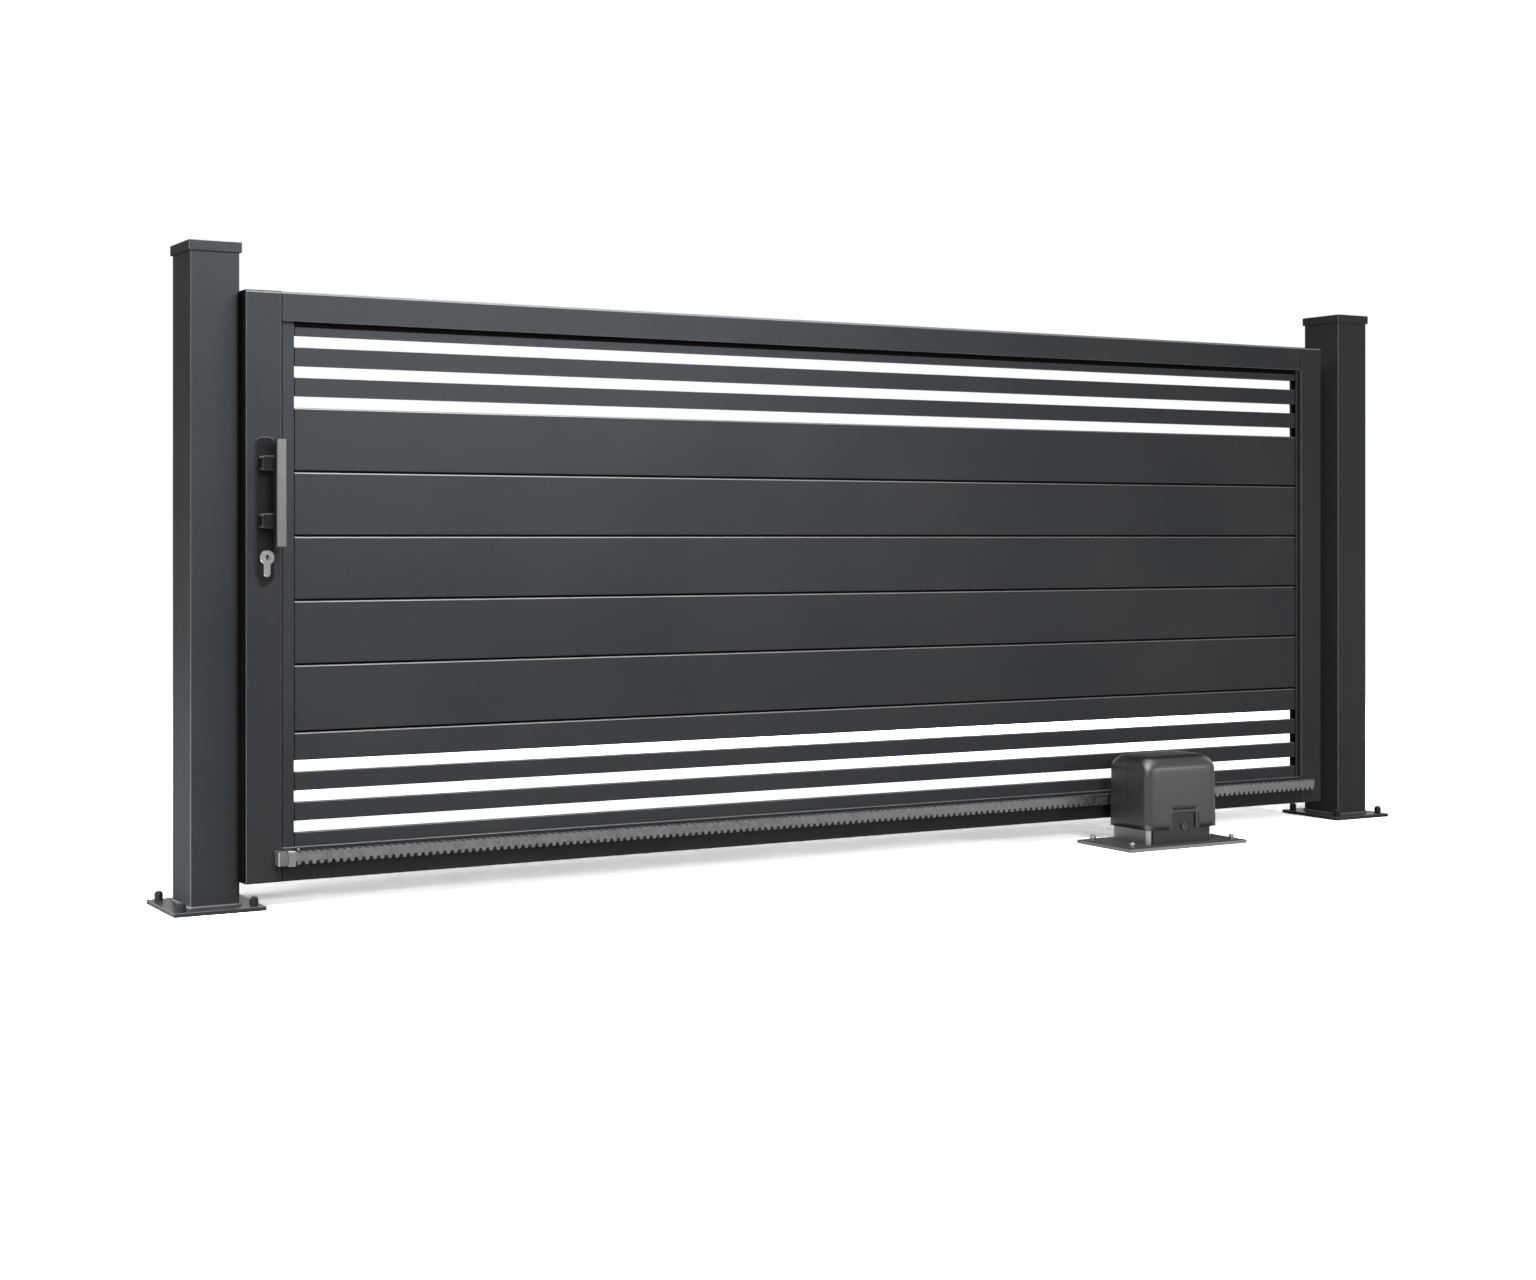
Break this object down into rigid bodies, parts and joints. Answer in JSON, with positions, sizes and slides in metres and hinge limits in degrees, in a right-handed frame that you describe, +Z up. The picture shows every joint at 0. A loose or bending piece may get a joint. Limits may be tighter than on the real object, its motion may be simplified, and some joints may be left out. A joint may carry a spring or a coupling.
{
  "type": "sliding driveway gate",
  "caption": "Sliding driveway gate: tube posts on bolted feet, slatted aluminium leaf with pull handle and lock, toothed rack and drive unit with a pinion.",
  "frame": {"origin": "centre of the underside of the left post's base plate, on the ground", "axes": "+X along the leaf from the left post to the right post, the way the leaf opens; +Z up; -Y towards the side with the handle and the drive unit"},
  "size_m": [3.845, 0.4965, 1.577],
  "materials": {
    "powder_coat": "satin fine-textured powder coat, anthracite",
    "black_coat": "matt black coat",
    "seal_rubber": "matt extruded rubber",
    "rack_steel": "galvanised, dull",
    "plate_steel": "galvanised, dull",
    "gear_steel": "machined",
    "bolt_steel": "zinc plated",
    "cast_aluminium": "die cast, bead blasted",
    "hood_plastic": "moulded, fine grain",
    "panel_plastic": "moulded, fine grain",
    "grip_aluminium": "anodised, satin",
    "lock_nickel": "satin nickel"
  },
  "bodies": {
    "base": {"left_post": "powder_coat", "right_post": "powder_coat", "left_base_plate": "powder_coat", "right_base_plate": "powder_coat", "left_post_cap": "powder_coat", "right_post_cap": "powder_coat", "post_anchor_bolts": "black_coat", "drive_base_plate": "plate_steel", "drive_anchor_bolts": "bolt_steel", "drive_housing": "cast_aluminium", "drive_hood": "hood_plastic", "release_panel": "panel_plastic", "release_key_lock": "panel_plastic", "roller_carriages": "plate_steel", "carriage_rollers": "gear_steel"},
    "leaf": {"left_stile": "powder_coat", "right_stile": "powder_coat", "stile_end_caps": "black_coat", "top_rail": "powder_coat", "bottom_rail": "powder_coat", "closing_edge_seal": "seal_rubber", "left_slat_channel": "powder_coat", "right_slat_channel": "powder_coat", "header_strip": "powder_coat", "sill_strip": "powder_coat", "upper_slats": "powder_coat", "lower_slats": "powder_coat", "board_1": "powder_coat", "board_2": "powder_coat", "board_3": "powder_coat", "board_4": "powder_coat", "board_5": "powder_coat", "narrow_board": "powder_coat", "rack_section_1": "rack_steel", "rack_section_2": "rack_steel", "rack_section_3": "rack_steel", "rack_section_4": "rack_steel", "rack_spacers": "rack_steel", "rack_end_block": "rack_steel", "rack_end_clamp": "rack_steel", "handle_plate": "black_coat", "handle_grip": "grip_aluminium", "handle_bosses": "black_coat", "lock_escutcheons": "lock_nickel", "lock_plugs": "lock_nickel"},
    "pinion": {"drive_pinion": "gear_steel", "output_shaft": "gear_steel"}
  },
  "joints": [
    {"name": "leaf_slide", "type": "slide", "parent": "base", "child": "leaf", "axis": [1, 0, 0], "range_m": [0, 2.5]},
    {"name": "pinion_spin", "type": "hinge", "parent": "base", "child": "pinion", "pos_m": [2.714, -0.142, 0.075], "axis": [0, 1, 0], "continuous": true}
  ],
  "couplings": [
    {"joint": "pinion_spin", "follows": "leaf_slide", "rad_per_m": 27.778}
  ]
}
